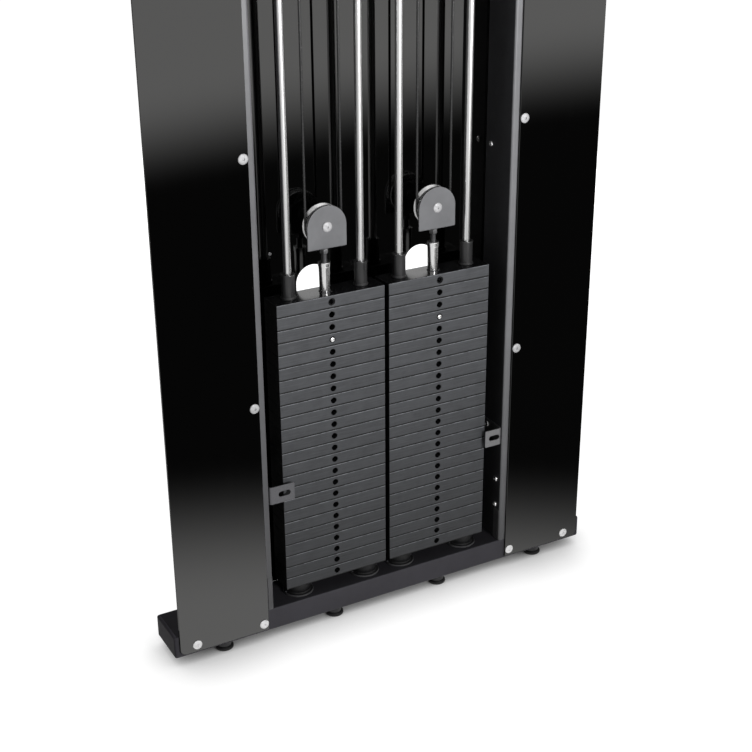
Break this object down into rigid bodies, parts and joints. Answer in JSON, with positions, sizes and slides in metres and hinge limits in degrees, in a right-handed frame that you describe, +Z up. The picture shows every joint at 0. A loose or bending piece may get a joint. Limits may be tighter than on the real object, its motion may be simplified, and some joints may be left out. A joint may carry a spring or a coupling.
{
  "type": "wall pulley weight stack",
  "caption": "Upright tower with two narrow selectorised weight stacks on guide rods, each lifted by a floating pulley and cable.",
  "frame": {"origin": "on the floor under the middle of the footprint, cable ends included", "axes": "+Z up, +X to the right when facing the tower, +Y back towards the wall"},
  "size_m": [0.96, 0.1456, 1.959],
  "materials": {
    "charcoal_frame": "satin charcoal powder coat",
    "grey_post": "satin grey powder coat",
    "black_gloss_sheet": "polished, mirror-like",
    "chrome_steel": "bright chrome plate",
    "grey_plate": "painted grey, satin",
    "grey_cheek": "satin grey paint",
    "black_plastic": "matt moulded",
    "pulley_wheel": "turned and worn smooth in the groove",
    "black_rubber": "matt",
    "steel_cable": "fine stranded wire",
    "zinc_bracket": "satin plated"
  },
  "bodies": {
    "cabinet": {"base_channel": "charcoal_frame", "top_channel": "charcoal_frame", "left_post": "grey_post", "right_post": "grey_post", "left_front_panel": "black_gloss_sheet", "right_front_panel": "black_gloss_sheet", "back_panel": "black_gloss_sheet", "front_foot_1": "black_rubber", "front_foot_2": "black_rubber", "front_foot_3": "black_rubber", "front_foot_4": "black_rubber", "left_back_foot": "black_rubber", "right_back_foot": "black_rubber", "left_outer_guide_rod": "chrome_steel", "left_outer_bumper": "black_rubber", "left_inner_guide_rod": "chrome_steel", "left_inner_bumper": "black_rubber", "right_outer_guide_rod": "chrome_steel", "right_outer_bumper": "black_rubber", "right_inner_guide_rod": "chrome_steel", "right_inner_bumper": "black_rubber", "left_cover_bracket": "zinc_bracket", "left_resting_plates": "grey_plate", "left_fixed_strand": "steel_cable", "left_running_strand": "steel_cable", "left_top_cable": "steel_cable", "left_top_axle": "chrome_steel", "right_cover_bracket": "zinc_bracket", "right_resting_plates": "grey_plate", "right_fixed_strand": "steel_cable", "right_running_strand": "steel_cable", "right_top_cable": "steel_cable", "right_top_axle": "chrome_steel"},
    "left_carriage": {"left_head_plate": "grey_plate", "left_lifted_plates": "grey_plate", "left_selector_stem": "chrome_steel", "left_lift_coupling": "chrome_steel", "left_pulley_yoke": "grey_cheek", "left_outer_rod_sleeve": "black_plastic", "left_inner_rod_sleeve": "black_plastic", "left_wheel_axle": "chrome_steel", "left_wheel_cable": "steel_cable"},
    "left_lift_wheel": {"left_lift_wheel": "pulley_wheel"},
    "left_selector_pin": {"left_selector_pin": "chrome_steel"},
    "left_top_wheel": {"left_top_wheel": "pulley_wheel"},
    "left_cable_end": {"left_cable_end": "black_rubber"},
    "right_carriage": {"right_head_plate": "grey_plate", "right_lifted_plates": "grey_plate", "right_selector_stem": "chrome_steel", "right_lift_coupling": "chrome_steel", "right_pulley_yoke": "grey_cheek", "right_outer_rod_sleeve": "black_plastic", "right_inner_rod_sleeve": "black_plastic", "right_wheel_axle": "chrome_steel", "right_wheel_cable": "steel_cable"},
    "right_lift_wheel": {"right_lift_wheel": "pulley_wheel"},
    "right_selector_pin": {"right_selector_pin": "chrome_steel"},
    "right_top_wheel": {"right_top_wheel": "pulley_wheel"},
    "right_cable_end": {"right_cable_end": "black_rubber"}
  },
  "joints": [
    {"name": "left_lift", "type": "slide", "parent": "cabinet", "child": "left_carriage", "axis": [0, 0, 1], "range_m": [0, 0.8], "deforming": ["left_fixed_strand", "left_running_strand"]},
    {"name": "left_wheel_spin", "type": "hinge", "parent": "left_carriage", "child": "left_lift_wheel", "pos_m": [-0.1182, 0.01775, 0.8311], "axis": [0, 1, 0], "range_deg": [0, 1240]},
    {"name": "left_top_wheel_spin", "type": "hinge", "parent": "cabinet", "child": "left_top_wheel", "pos_m": [-0.1552, -0.01925, 1.863], "axis": [1, 0, 0], "range_deg": [0, 2480]},
    {"name": "left_pull", "type": "slide", "parent": "cabinet", "child": "left_cable_end", "axis": [0, 0, -1], "range_m": [0, 1.6], "deforming": ["left_top_cable"]},
    {"name": "left_pin_pull", "type": "slide", "parent": "left_carriage", "child": "left_selector_pin", "axis": [0, -1, 0], "range_m": [0, 0.05]},
    {"name": "right_lift", "type": "slide", "parent": "cabinet", "child": "right_carriage", "axis": [0, 0, 1], "range_m": [0, 0.8], "deforming": ["right_fixed_strand", "right_running_strand"]},
    {"name": "right_wheel_spin", "type": "hinge", "parent": "right_carriage", "child": "right_lift_wheel", "pos_m": [0.1182, 0.01775, 0.8311], "axis": [0, 1, 0], "range_deg": [-1240, 0]},
    {"name": "right_top_wheel_spin", "type": "hinge", "parent": "cabinet", "child": "right_top_wheel", "pos_m": [0.1552, -0.01925, 1.863], "axis": [1, 0, 0], "range_deg": [0, 2480]},
    {"name": "right_pull", "type": "slide", "parent": "cabinet", "child": "right_cable_end", "axis": [0, 0, -1], "range_m": [0, 1.6], "deforming": ["right_top_cable"]},
    {"name": "right_pin_pull", "type": "slide", "parent": "right_carriage", "child": "right_selector_pin", "axis": [0, -1, 0], "range_m": [0, 0.05]}
  ],
  "couplings": [
    {"joint": "left_wheel_spin", "follows": "left_lift", "rad_per_m": 27.027},
    {"joint": "left_top_wheel_spin", "follows": "left_lift", "rad_per_m": 54.054},
    {"joint": "left_pull", "follows": "left_lift", "ratio": 2},
    {"joint": "right_wheel_spin", "follows": "right_lift", "rad_per_m": -27.027},
    {"joint": "right_top_wheel_spin", "follows": "right_lift", "rad_per_m": 54.054},
    {"joint": "right_pull", "follows": "right_lift", "ratio": 2}
  ]
}
